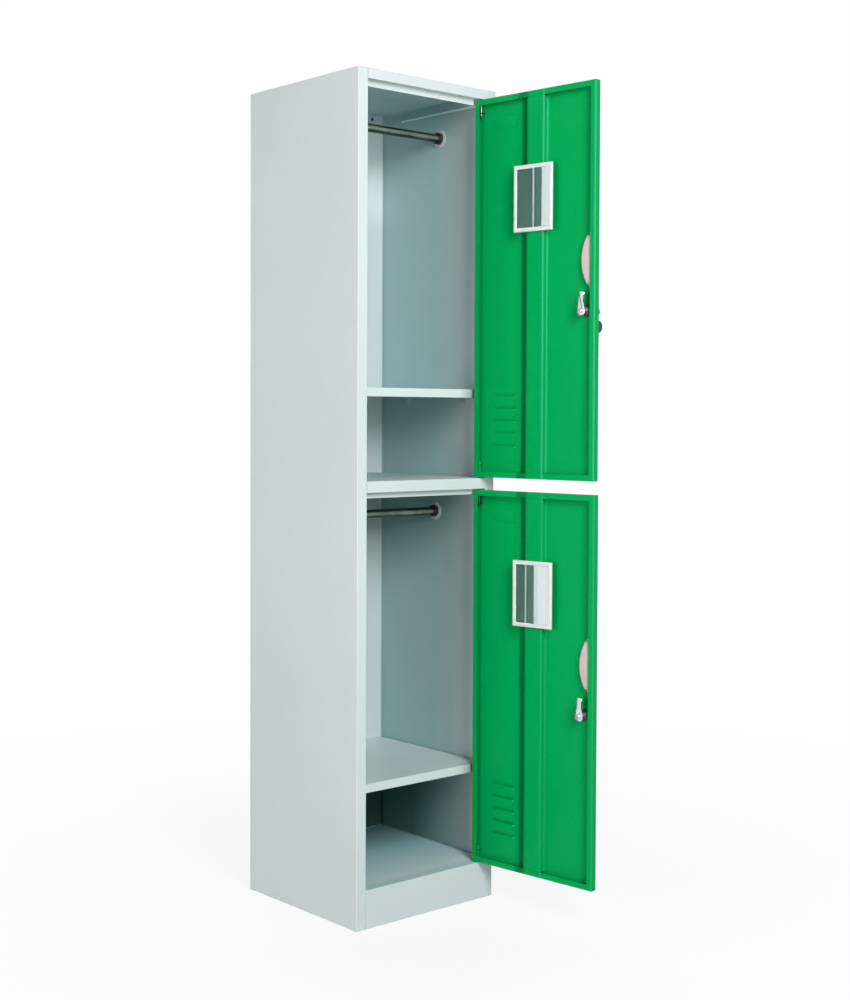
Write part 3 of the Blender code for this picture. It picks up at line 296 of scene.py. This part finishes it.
def with_painted_light_inside(coat, tone):
    """Painted light and shade inside the body: lighter near the mouth and on the back, darker and
    greener further in, on the walls, below the divider and in the lower cubby.
    """
    across, back, up = coat.spot()
    aside = across.size()
    inner = (1.0 - aside.between(*SIDE_OUTSIDE)) * (1.0 - back.between(*BACK_OUTSIDE))
    inner = inner * (1.0 - up.between(*TOP_OUTSIDE))
    # Painted light near the mouth, fading to a darker, greener painted shade further in
    deep = coat.mix(PAINTED_LIGHT_NEAR_MOUTH, PAINTED_SHADE_DEEP_INSIDE, back.between(0.03, 0.20))
    tone = coat.mix(tone, deep, inner * back.between(0.012, 0.03), "MULTIPLY")
    rear = inner * back.between(*BACK_FACE)
    walls = inner * aside.between(*WALL_FACE) * back.between(0.05, 0.15) * (1.0 - rear)
    floor = inner * up.within(*ON_FLOOR, 0.0002)
    lower_cubby = inner * back.between(0.02, 0.27) * up.between(*OVER_FLOOR)
    lower_cubby = lower_cubby * (1.0 - up.between(0.22, 0.30))
    # Painted light on the back panel, most at its top and behind the upper cubby; painted shade on the
    # walls, lower walls, below the divider, the floor's rear and the lower cubby; a cooler painted
    # light on the floor
    for tint, share in (
        ("rear", rear),
        ("rear_upper_light", rear * (up.between(1.56, 1.64) + up.within(0.96, 1.16, 0.01) * 0.7)),
        ("walls", walls),
        ("lower_walls", walls * (1.0 - up.between(1.10, 1.18))),
        ("below_divider", (rear + walls) * up.between(0.72, 0.86) * (1.0 - up.between(0.93, 0.95))),
        ("floor", floor),
        ("floor_rear", floor * back.between(0.20, 0.385)),
        ("lower_cubby", lower_cubby),
        ("lower_cubby_back", lower_cubby * back.between(0.385, 0.389)),
    ):
        tone = coat.with_painted_light_and_shade(tone, tint, share)
    # A painted highlight along the lower edge of the top pan's side flanges
    hem_highlight = aside.within(0.1965, 0.1984, 0.0002) * back.within(0.03, 0.322, 0.003)
    return coat.with_painted_light_and_shade(with_painted_crease_shade(coat, tone), "hem_highlight", hem_highlight * up.within(1.8240, 1.8290, 0.0006))


def door_coat(tier):
    """The doors' coat carries a painted highlight over the bends, and a painted shadow beside the
    channel, towards the hinge.
    """

    def with_painted_bend_light(coat, tone):
        across, back = coat.spot()[:2]
        turn = OPEN_ANGLES[tier]
        over, behind = across - HINGE.x, back - HINGE.y
        reach = over * -math.cos(turn) - behind * math.sin(turn)
        rise = behind * math.cos(turn) - over * math.sin(turn)
        near, far = CHANNEL_SIDES
        drawn = 0.0
        for bend_reach, bend_rise in ((far, DOOR_INNER), (far, CHANNEL_FOOT), (DOOR_REACH, DOOR_INNER)):
            off = ((reach - bend_reach) ** 2.0 + (rise - bend_rise) ** 2.0) ** 0.5
            drawn = (1.0 - off.between(0.0016, 0.0042)) * BEND_HIGHLIGHT_SHARES[tier] + drawn
        inner = rise.between(-0.0062, -0.0058)
        # Painted highlight over the channel's bends and the lip's bend, on the door's inner face
        tone = coat.mix(tone, PAINTED_BEND_HIGHLIGHT, drawn * inner)
        # Painted shadow on the inner face beside the channel, on its hinge side
        return coat.with_painted_light_and_shade(tone, "channel_shadow", reach.within(near - 0.0210, near, 0.0070) * inner)

    return powder_coat(f"{tier}_green_powder_coat", (0.0, 0.330, 0.080), 0.24, 0.06, with_painted_bend_light)


def moulded(name, colour, gloss, grain=0.0):
    """Injection-moulded plastic: even colour, slight sink marks, and a spark-eroded grain if asked."""
    plastic = Finish(material(name), IOR=1.48)
    sink = plastic.noise(60.0, 2.0)
    fine = plastic.noise(1900.0, 2.0)
    tone = plastic.mix(shade(colour, 0.96), shade(colour, 1.03), sink.between(0.3, 0.7))
    plastic.set(Base_Color=tone, Roughness=gloss + sink * 0.08)
    plastic.set(Normal=plastic.bump(sink * 0.4 + fine * grain, 0.0002, 0.4))
    return plastic.holder


def drawn_tube(name, level):
    """A hanging rod with painted reflections, bright along its flanks and dark above and below, drawn
    in lines.
    """
    tube = Finish(material(name), Metallic=1.0)
    lines = tube.noise(150.0, 3.0, (0.12, 1.0, 1.0))
    up = tube.spot()[2]
    # A painted highlight band at the height of the flanks, its edge wavering with the lines
    off = (up - (level - 0.0008) + (lines - 0.5) * 0.0055).size()
    painted_highlight_band = 1.0 - off.between(0.0020, 0.0056)
    # Random tone within the painted highlight
    highlight_mottle = tube.noise(22.0, 3.0, (1.0, 0.3, 0.3)).between(0.35, 0.65)
    bright = tube.mix((0.60, 0.50, 0.45), (0.86, 0.79, 0.66), highlight_mottle)
    tube.set(Base_Color=tube.mix((0.055, 0.085, 0.085), bright, painted_highlight_band), Roughness=0.30 + lines * 0.10)
    tube.set(Normal=tube.bump(lines, 0.00006, 0.5))
    return tube.holder


def plated_steel(name, colour, gloss, grain):
    """Bright zinc on drawn or stamped steel, its grain along one way."""
    plate = Finish(material(name), Metallic=1.0)
    lines = plate.noise(140.0, 3.0, grain)
    spangle = plate.noise(170.0, 2.0).between(0.35, 0.65)
    pale = lines.between(0.3, 0.7) * 0.6 + spangle * 0.4
    tone = plate.mix(shade(colour, 0.82), shade(colour, 1.12), pale)
    plate.set(Base_Color=tone, Roughness=gloss + lines * 0.12)
    plate.set(Normal=plate.bump(lines, 0.00006, 0.5))
    return plate.holder


def polished_chrome(name, colour, gloss):
    """Bright plating over a cast body, a little wavy, with a few dull fingermarks."""
    bright = Finish(material(name), Metallic=1.0)
    wave = bright.noise(240.0, 2.0)
    dull = bright.noise(75.0, 3.0).between(0.5, 0.75)
    bright.set(Base_Color=bright.mix(colour, shade(colour, 0.86), dull), Roughness=gloss + dull * 0.12)
    bright.set(Normal=bright.bump(wave, 0.00015, 0.35))
    return bright.holder


def silvered_glass(name, colour):
    """A small mirror: a clear reflection with a faint green cast and a few smears."""
    glass = Finish(material(name), Metallic=1.0)
    smear = glass.noise(26.0, 4.0, (1.0, 1.0, 0.3)).between(0.5, 0.85)
    glass.set(Base_Color=glass.mix(colour, shade(colour, 0.95), smear), Roughness=0.015 + smear * 0.035)
    return glass.holder


FINISHES = {
    "cabinet_grey": powder_coat("grey_powder_coat", (0.56, 0.655, 0.66), 0.36, 0.4, with_painted_light_inside),
    # The shelves' coat is the cabinet's grey made a little lighter, as painted light on their tops
    "lit_shelf_grey": powder_coat("shelf_powder_coat", (0.60, 0.70, 0.715), 0.36, 0.4, with_painted_shelf_end_shadow),
    "clip_grey": powder_coat("clip_powder_coat", (0.40, 0.55, 0.54), 0.40, 0.4),
    "upper_door_green": door_coat("upper"),
    "lower_door_green": door_coat("lower"),
    "white_plastic": moulded("white_moulded_plastic", (0.625, 0.675, 0.67), 0.34),
    "beige_plastic": moulded("beige_moulded_plastic", (0.55, 0.48, 0.46), 0.42, 0.3),
    "black_plastic": moulded("black_moulded_plastic", (0.018, 0.018, 0.019), 0.38, 0.6),
    "mirror_glass": silvered_glass("silvered_glass", (0.72, 0.79, 0.785)),
    "steel": plated_steel("zinc_plated_steel", (0.56, 0.57, 0.57), 0.26, (6.0, 6.0, 1.0)),
    "hinge_steel": plated_steel("rolled_hinge_steel", (0.27, 0.25, 0.22), 0.40, (6.0, 6.0, 1.0)),
    "upper_rod_steel": drawn_tube("upper_rod_steel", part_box("upper_hanging_rod")[0][2] + ROD_RADIUS),
    "lower_rod_steel": drawn_tube("lower_rod_steel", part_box("lower_hanging_rod")[0][2] + ROD_RADIUS),
    "black_steel": plated_steel("blackened_steel", (0.085, 0.085, 0.09), 0.34, (6.0, 6.0, 1.0)),
    "chrome": polished_chrome("polished_chrome", (0.72, 0.74, 0.76), 0.12),
}


# Working by hand


def alone(thing):
    bpy.ops.object.select_all(action="DESELECT")
    thing.select_set(True)
    bpy.context.view_layer.objects.active = thing


def edit(thing):
    alone(thing)
    bpy.ops.object.mode_set(mode="EDIT")
    bpy.ops.mesh.select_mode(type="VERT")
    bpy.ops.mesh.select_all(action="SELECT")


def done(thing):
    bpy.ops.object.mode_set(mode="OBJECT")
    return thing


def added(name):
    """The primitive just added, by its new name."""
    thing = bpy.context.active_object
    thing.name = name
    thing.data.name = name
    return thing


def finish_with(thing, kind, **settings):
    """Adds one modifier and applies it."""
    alone(thing)
    bpy.ops.object.modifier_add(type=kind)
    step = thing.modifiers[-1]
    for key, setting in settings.items():
        setattr(step, key, setting)
    bpy.ops.object.modifier_apply(modifier=step.name)


def smooth(thing, degrees=35.0):
    alone(thing)
    bpy.ops.object.shade_smooth_by_angle(angle=math.radians(degrees))


def outwards(thing):
    """Merges what lies on one spot and turns the faces outwards."""
    edit(thing)
    bpy.ops.mesh.remove_doubles(threshold=WELD)
    bpy.ops.mesh.normals_make_consistent(inside=False)
    return done(thing)


def put(thing, place):
    """Sets a piece modelled on the lathe's own axes where it belongs, its place in its mesh."""
    alone(thing)
    thing.matrix_world = place
    bpy.ops.object.transform_apply(location=True, rotation=True, scale=True)


def dress(thing, finish, slot, body, *nodes):
    """Gives a finished piece its finish, and has it ride on a body in place of CAD nodes."""
    thing.data.materials.clear()
    thing.data.materials.append(FINISHES[finish])
    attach(thing, body)
    if nodes:
        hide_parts(*nodes)


def copied(node, name):
    """A copy of a CAD node's mesh, its loose triangles merged."""
    thing = bpy.data.objects.new(name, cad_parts[node].data.copy())
    bpy.context.scene.collection.objects.link(thing)
    edit(thing)
    bpy.ops.mesh.remove_doubles(threshold=WELD)
    return done(thing)


def smoothed_sheet(node, name, finish, slot, body):
    """A folded sheet whose bends shade as bends, while its flats stay flat."""
    thing = copied(node, name)
    smooth(thing)
    finish_with(thing, "WEIGHTED_NORMAL", keep_sharp=True, weight=80)
    dress(thing, finish, slot, body, node)


def rounded(node, name, finish, slot, body, width, segments=3, limit=40.0):
    """A moulded or stamped piece whose edges are rounded off."""
    thing = copied(node, name)
    edit(thing)
    bpy.ops.mesh.dissolve_limited(angle_limit=math.radians(1.0))
    done(thing)
    finish_with(
        thing,
        "BEVEL",
        width=width,
        segments=segments,
        limit_method="ANGLE",
        angle_limit=math.radians(limit),
        use_clamp_overlap=True,
    )
    smooth(thing, 50.0)
    dress(thing, finish, slot, body, node)


def turned(name, profile, steps):
    """Spun up ring by ring from a circle: the profile is radius and height, from rim to rim."""
    radius, height = profile[0]
    bpy.ops.object.select_all(action="DESELECT")
    bpy.ops.mesh.primitive_circle_add(vertices=steps, radius=radius, location=(0, 0, height))
    thing = added(name)
    bpy.ops.object.transform_apply(location=True, rotation=True, scale=True)
    edit(thing)
    for next_radius, next_height in profile[1:]:
        bpy.ops.mesh.extrude_region_move(TRANSFORM_OT_translate={"value": (0, 0, next_height - height)})
        share = next_radius / radius
        bpy.ops.transform.resize(value=(share, share, 1), center_override=(0, 0, next_height))
        radius, height = next_radius, next_height
    done(thing)
    return outwards(thing)


def capped(thing):
    """Closes every open rim of a turned piece."""
    edit(thing)
    bpy.ops.mesh.select_all(action="DESELECT")
    bpy.ops.mesh.select_non_manifold()
    bpy.ops.mesh.edge_face_add()
    bpy.ops.mesh.select_all(action="SELECT")
    bpy.ops.mesh.normals_make_consistent(inside=False)
    return done(thing)


def facing(origin, across, up):
    """A place whose own x runs across, whose y runs up and whose z faces out."""
    first = Vector(across)
    second = Vector(up)
    turned_frame = Matrix((first, second, first.cross(second))).transposed().to_4x4()
    return Matrix.Translation(Vector(origin)) @ turned_frame


def middle_of(node):
    low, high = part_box(node)
    return (Vector(low) + Vector(high)) / 2


def door_place(tier):
    """Where a door's lower hinge end is, turned as the open door is."""
    foot = HINGE + Vector((0, 0, DOOR_FLOORS[tier]))
    return Matrix.Translation(foot) @ Matrix.Rotation(OPEN_ANGLES[tier], 4, "Z")


def another(master, name):
    """A copy with a mesh of its own."""
    thing = bpy.data.objects.new(name, master.data.copy())
    bpy.context.scene.collection.objects.link(thing)
    return thing


# Cabinet


def sheet_metal():
    for node in ("left_side_panel", "right_side_panel", "top_panel", "middle_divider", "bottom_panel"):
        smoothed_sheet(node, f"{node}_coated", "cabinet_grey", "cabinet_grey", "cabinet")
    for tier in TIERS:
        door = f"{tier}_door"
        smoothed_sheet(f"{tier}_shelf", f"{tier}_shelf_coated", "lit_shelf_grey", "cabinet_grey", "cabinet")
        smoothed_sheet(f"{door}_panel", f"{door}_skin", f"{door}_green", "door_green", door)
        smoothed_sheet(f"{door}_stiffener", f"{door}_channel", f"{door}_green", "door_green", door)


def cross_head(name, radius, thick, shank):
    """A pan-head screw with a cross recess, its head's underside at height 0."""
    profile = [(shank, -thick), (shank, 0.0), (radius, 0.0), (radius, thick * 0.35)]
    profile += [(radius * 0.86, thick * 0.8), (radius * 0.55, thick), (radius * 0.10, thick)]
    screw = capped(turned(name, profile, 32))
    middle = Matrix.Translation((0, 0, thick))
    recess = Matrix.Diagonal((radius * 1.1, radius * 0.24, thick * 0.9, 1.0))
    for turn in (0.0, math.pi / 2):
        bpy.ops.object.select_all(action="DESELECT")
        bpy.ops.mesh.primitive_cube_add(size=1.0)
        slot = added("recess_tool")
        slot.matrix_world = middle @ Matrix.Rotation(turn, 4, "Z") @ recess
        bpy.context.view_layer.update()
        finish_with(screw, "BOOLEAN", object=slot, operation="DIFFERENCE", solver="EXACT")
        bpy.data.objects.remove(slot)
    smooth(screw, 30.0)
    return screw


def rod_sockets():
    """Each flange with a rolled rim, a dark collar round the rod, and two small screws."""
    flange = [(0.0002, 0.0), (0.0208, 0.0), (0.0215, 0.0007), (0.0215, 0.0018), (0.0205, 0.0028)]
    flange += [(0.0190, SOCKET_FACE), (0.0139, 0.0032), (0.0098, 0.0030), (0.0002, 0.0030)]
    collar = [(0.0098, 0.0032), (0.0139, 0.0032), (0.0136, 0.0050), (0.0134, 0.0118), (0.0129, 0.0127)]
    collar += [(0.0122, 0.0130), (0.0105, 0.0130), (0.0099, 0.0126), (0.0098, 0.0120), (0.0098, 0.0032)]
    rim = capped(turned("socket_flange_master", flange, 56))
    ring = turned("socket_collar_master", collar, 56)
    parts = (("flange", rim, "white_plastic"), ("collar", ring, "black_plastic"))
    for master in (rim, ring):
        smooth(master, 30.0)
    screw = cross_head("socket_screw_master", 0.0026, 0.0013, 0.0012)
    for tier in TIERS:
        rod = middle_of(f"{tier}_hanging_rod")
        for side, away in (("left", 1), ("right", -1)):
            place = facing((-away * SOCKET_SEAT, rod.y, rod.z), (0, away, 0), (0, 0, 1))
            for part, master, finish in parts:
                piece = another(master, f"{tier}_{side}_socket_{part}")
                put(piece, place)
                dress(piece, finish, "white_plastic", "cabinet", f"{tier}_{side}_rod_socket")
            for number, level in enumerate(SOCKET_SCREW_LEVELS):
                head = another(screw, f"{tier}_{side}_socket_screw_{number + 1}")
                seat = place @ Matrix.Translation((0, level, SOCKET_FACE))
                put(head, seat @ Matrix.Rotation(0.5 + number, 4, "Z"))
                dress(head, "steel", "steel", "cabinet")
    for master in (rim, ring, screw):
        bpy.data.objects.remove(master)


def panel_screws():
    """The two screws that hold the top pan to the back."""
    screw = cross_head("panel_screw_master", 0.0040, PANEL_HEAD, 0.0020)
    for side in ("left", "right"):
        node = f"top_panel_screw_{side}"
        low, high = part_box(node)
        seat = Vector(((low[0] + high[0]) / 2, low[1] + PANEL_HEAD, (low[2] + high[2]) / 2))
        place = facing(seat, (1, 0, 0), (0, 0, 1))
        head = another(screw, f"{node}_head")
        put(head, place @ Matrix.Rotation(0.35, 4, "Z"))
        dress(head, "black_steel", "steel", "cabinet", node)
    bpy.data.objects.remove(screw)


# Doors, keys and small steel


def mirrors():
    for tier in TIERS:
        door, plastic = f"{tier}_door", "white_plastic"
        rounded(f"{door}_mirror_frame", f"{tier}_mirror_surround", plastic, plastic, door, 0.0011)


def pulls():
    for tier in TIERS:
        door, plastic = f"{tier}_door", "beige_plastic"
        rounded(f"{door}_pull", f"{tier}_finger_pull", plastic, plastic, door, 0.0005, 2, 30.0)


def lock_fittings():
    """Bright bezel, dark threaded barrel, chamfered nut, stamped cam with its screw, and the plug."""
    bezel = [(BORE_RADIUS, 0.0030), (0.0108, 0.0030), (0.0116, 0.0026), (0.0120, 0.0018)]
    bezel += [(0.0120, 0.0003), (THREAD_RADIUS, 0.0003), (THREAD_RADIUS, BEZEL_BACK)]
    bezel += [(BORE_RADIUS, BEZEL_BACK), (BORE_RADIUS, 0.0030)]
    barrel = [(BORE_RADIUS, BEZEL_BACK), (THREAD_RADIUS, BEZEL_BACK)]
    height = -THREAD_PITCH
    while height > THREAD_END:
        barrel += [(THREAD_RADIUS, height), (THREAD_ROOT, height - THREAD_PITCH / 2)]
        height -= THREAD_PITCH
    barrel += [(0.0093, -0.0194), (0.0090, BARREL_END), (BORE_RADIUS, BARREL_END)]
    barrel += [(BORE_RADIUS, BEZEL_BACK)]
    for tier in TIERS:
        door, turning = f"{tier}_door", f"{tier}_lock"
        level = middle_of(f"{door}_lock_body").z - DOOR_FLOORS[tier]
        place = door_place(tier) @ facing((LOCK_IN, DOOR_OUTER, level), (1, 0, 0), (0, 0, 1))
        for part, profile, finish in (("bezel", bezel, "chrome"), ("barrel", barrel, "black_steel")):
            piece = turned(f"{turning}_{part}", profile, 48)
            smooth(piece, 25.0)
            put(piece, place)
            dress(piece, finish, "chrome", door, f"{door}_lock_body")
        rounded(f"{door}_lock_nut", f"{turning}_hex_nut", "black_steel", "steel", door, 0.0005, 2)
        rounded(f"{door}_lock_cam", f"{turning}_tongue", "chrome", "chrome", turning, 0.0004, 3)
        screw = cross_head(f"{tier}_tongue_screw", 0.0045, 0.0028, 0.0016)
        put(screw, place @ Matrix.Translation((0, 0, CAM_SEAT)) @ Matrix.Rotation(math.pi, 4, "X"))
        dress(screw, "steel", "steel", turning, f"{door}_cam_screw")
        rounded(f"{door}_lock_plug", f"{turning}_core", "steel", "steel", turning, 0.0002, 2)


def keys():
    for key, name, body in (
        ("upper_door_key", "upper_key", "upper_lock"),
        ("spare_key", "spare_key", "spare_key"),
    ):
        rounded(f"{key}_bow", f"{name}_grip", "black_plastic", "black_plastic", body, 0.0009, 3)
        rounded(f"{key}_blade", f"{name}_blank", "steel", "steel", body, 0.0001, 2)
    bpy.ops.object.select_all(action="DESELECT")
    bpy.ops.mesh.primitive_torus_add(
        major_segments=72, minor_segments=10, major_radius=RING_RADIUS, minor_radius=RING_WIRE
    )
    ring = added("split_ring")
    edit(ring)
    bpy.ops.mesh.duplicate_move(TRANSFORM_OT_translate={"value": (0, 0, RING_STEP)})
    done(ring)
    smooth(ring, 60.0)
    upright = Matrix.Rotation(OPEN_ANGLES["upper"], 4, "Z") @ Matrix.Rotation(math.pi / 2, 4, "X")
    centred = Matrix.Translation((0, 0, -RING_STEP / 2))
    put(ring, Matrix.Translation(middle_of("key_ring")) @ upright @ centred)
    dress(ring, "chrome", "chrome", "key_ring", "key_ring")


def small_steel():
    """Hinge pins and their holders, painted with the door at its foot, and the shelves' brackets; the
    top pins' two steels are painted light and shade.
    """
    for tier in TIERS:
        door = f"{tier}_door"
        paint = f"{door}_green"
        # The top pins' lighter and blackened steels are painted light and shade
        for end, pin, holder in (("top", TOP_PINS_LIT_AND_SHADED[tier], "black_steel"), ("bottom", paint, paint)):
            node = f"{door}_{end}_pin"
            rounded(node, f"{tier}_{end}_hinge_pin", pin, "steel", door, 0.0003, 2)
            rounded(f"{node}_bracket", f"{tier}_{end}_pin_holder", holder, "steel", door, 0.0003, 2)
        for side, spot in SHELF_SIDES:
            node = f"{tier}_shelf_clip_{side}_{spot}"
            bracket = f"{tier}_shelf_bracket_{side}_{spot}"
            rounded(node, bracket, "clip_grey", "steel", "cabinet", 0.0003, 2)


def carried_over():
    """The CAD nodes whose shape is right as it is, with their finishes."""
    for node, finish in (
        ("back_panel", "cabinet_grey"),
        ("upper_hanging_rod", "upper_rod_steel"),
        ("lower_hanging_rod", "lower_rod_steel"),
        ("upper_door_mirror_glass", "mirror_glass"),
        ("lower_door_mirror_glass", "mirror_glass"),
    ):
        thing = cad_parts[node]
        for slot in thing.material_slots:
            slot.material = FINISHES[finish]


# Studio and camera


def floor_and_world():
    """A pale floor that keeps the locker's shadow near it and runs out into the white backdrop."""
    bpy.ops.object.select_all(action="DESELECT")
    bpy.ops.mesh.primitive_plane_add(size=FLOOR_SIZE, location=(0, 0, 0))
    floor = added("studio_floor")
    ground = Finish(material("pale_floor"), Roughness=0.9, Specular_IOR_Level=0.0)
    pale = ground.mix((0.72, 0.73, 0.73), (0.75, 0.76, 0.76), ground.noise(1.2))
    ground.set(Base_Color=ground.mix((0.52, 0.53, 0.53), pale, ground.seen()))
    glow = ground.node("ShaderNodeEmission", None, {"Color": (1.0, 1.0, 1.0), "Strength": 1.0})
    away = ground.node("ShaderNodeVectorMath", {"operation": "LENGTH"}, {0: ground.place()}, "Value")
    share = away.between(*GLOW_REACH) * (1.0 - GLOW_AT_FOOT) + GLOW_AT_FOOT
    share = ground.seen() * share
    blend = ground.node("ShaderNodeMixShader", None, {0: share, 2: glow})
    ground.tree.links.new(ground.surface.outputs[0], blend.socket.node.inputs[1])
    ground.tree.links.new(blend.socket, ground.tree.nodes["Material Output"].inputs["Surface"])
    floor.data.materials.append(ground.holder)
    air = Finish(bpy.data.worlds.new("studio_air"), "Background", Strength=1.0)
    air.set(Color=air.mix(AIR, (1.0, 1.0, 1.0), air.seen()))
    bpy.context.scene.world = air.holder


def lamp(name, place, target, size, power, colour):
    light = bpy.data.lights.new(name, "AREA")
    light.shape = "RECTANGLE"
    light.size = size[0]
    light.size_y = size[1]
    light.energy = power
    light.color = colour
    thing = bpy.data.objects.new(name, light)
    bpy.context.scene.collection.objects.link(thing)
    aim = (Vector(target) - Vector(place)).to_track_quat("-Z", "Y").to_matrix().to_4x4()
    thing.matrix_world = Matrix.Translation(Vector(place)) @ aim


def camera():
    """The photograph's own view: to the left of the front and just above half height."""
    level = math.cos(CAMERA_PITCH)
    depth = -math.sin(CAMERA_PITCH)
    forward = Vector((math.sin(CAMERA_YAW) * level, math.cos(CAMERA_YAW) * level, depth))
    right = Vector((math.cos(CAMERA_YAW), -math.sin(CAMERA_YAW), 0.0))
    up = right.cross(forward)
    rolled_right = math.cos(CAMERA_ROLL) * right + math.sin(CAMERA_ROLL) * up
    rolled_up = math.cos(CAMERA_ROLL) * up - math.sin(CAMERA_ROLL) * right
    turned_view = Matrix((rolled_right, rolled_up, -forward)).transposed().to_4x4()
    lens = bpy.data.cameras.new("studio_camera")
    lens.sensor_fit = "AUTO"
    lens.sensor_width = 36.0
    lens.lens = CAMERA_LENS
    lens.shift_y = CAMERA_SHIFT
    lens.clip_end = 100.0
    view = bpy.data.objects.new("studio_camera", lens)
    bpy.context.scene.collection.objects.link(view)
    view.matrix_world = Matrix.Translation(CAMERA_PLACE) @ turned_view
    bpy.context.scene.camera = view


def studio():
    floor_and_world()
    for name, settings in LAMPS.items():
        lamp(name, *settings)
    bpy.context.scene.view_settings.view_transform = "Standard"


sheet_metal()
rod_sockets()
panel_screws()
mirrors()
pulls()
lock_fittings()
keys()
small_steel()
carried_over()
studio()
camera()
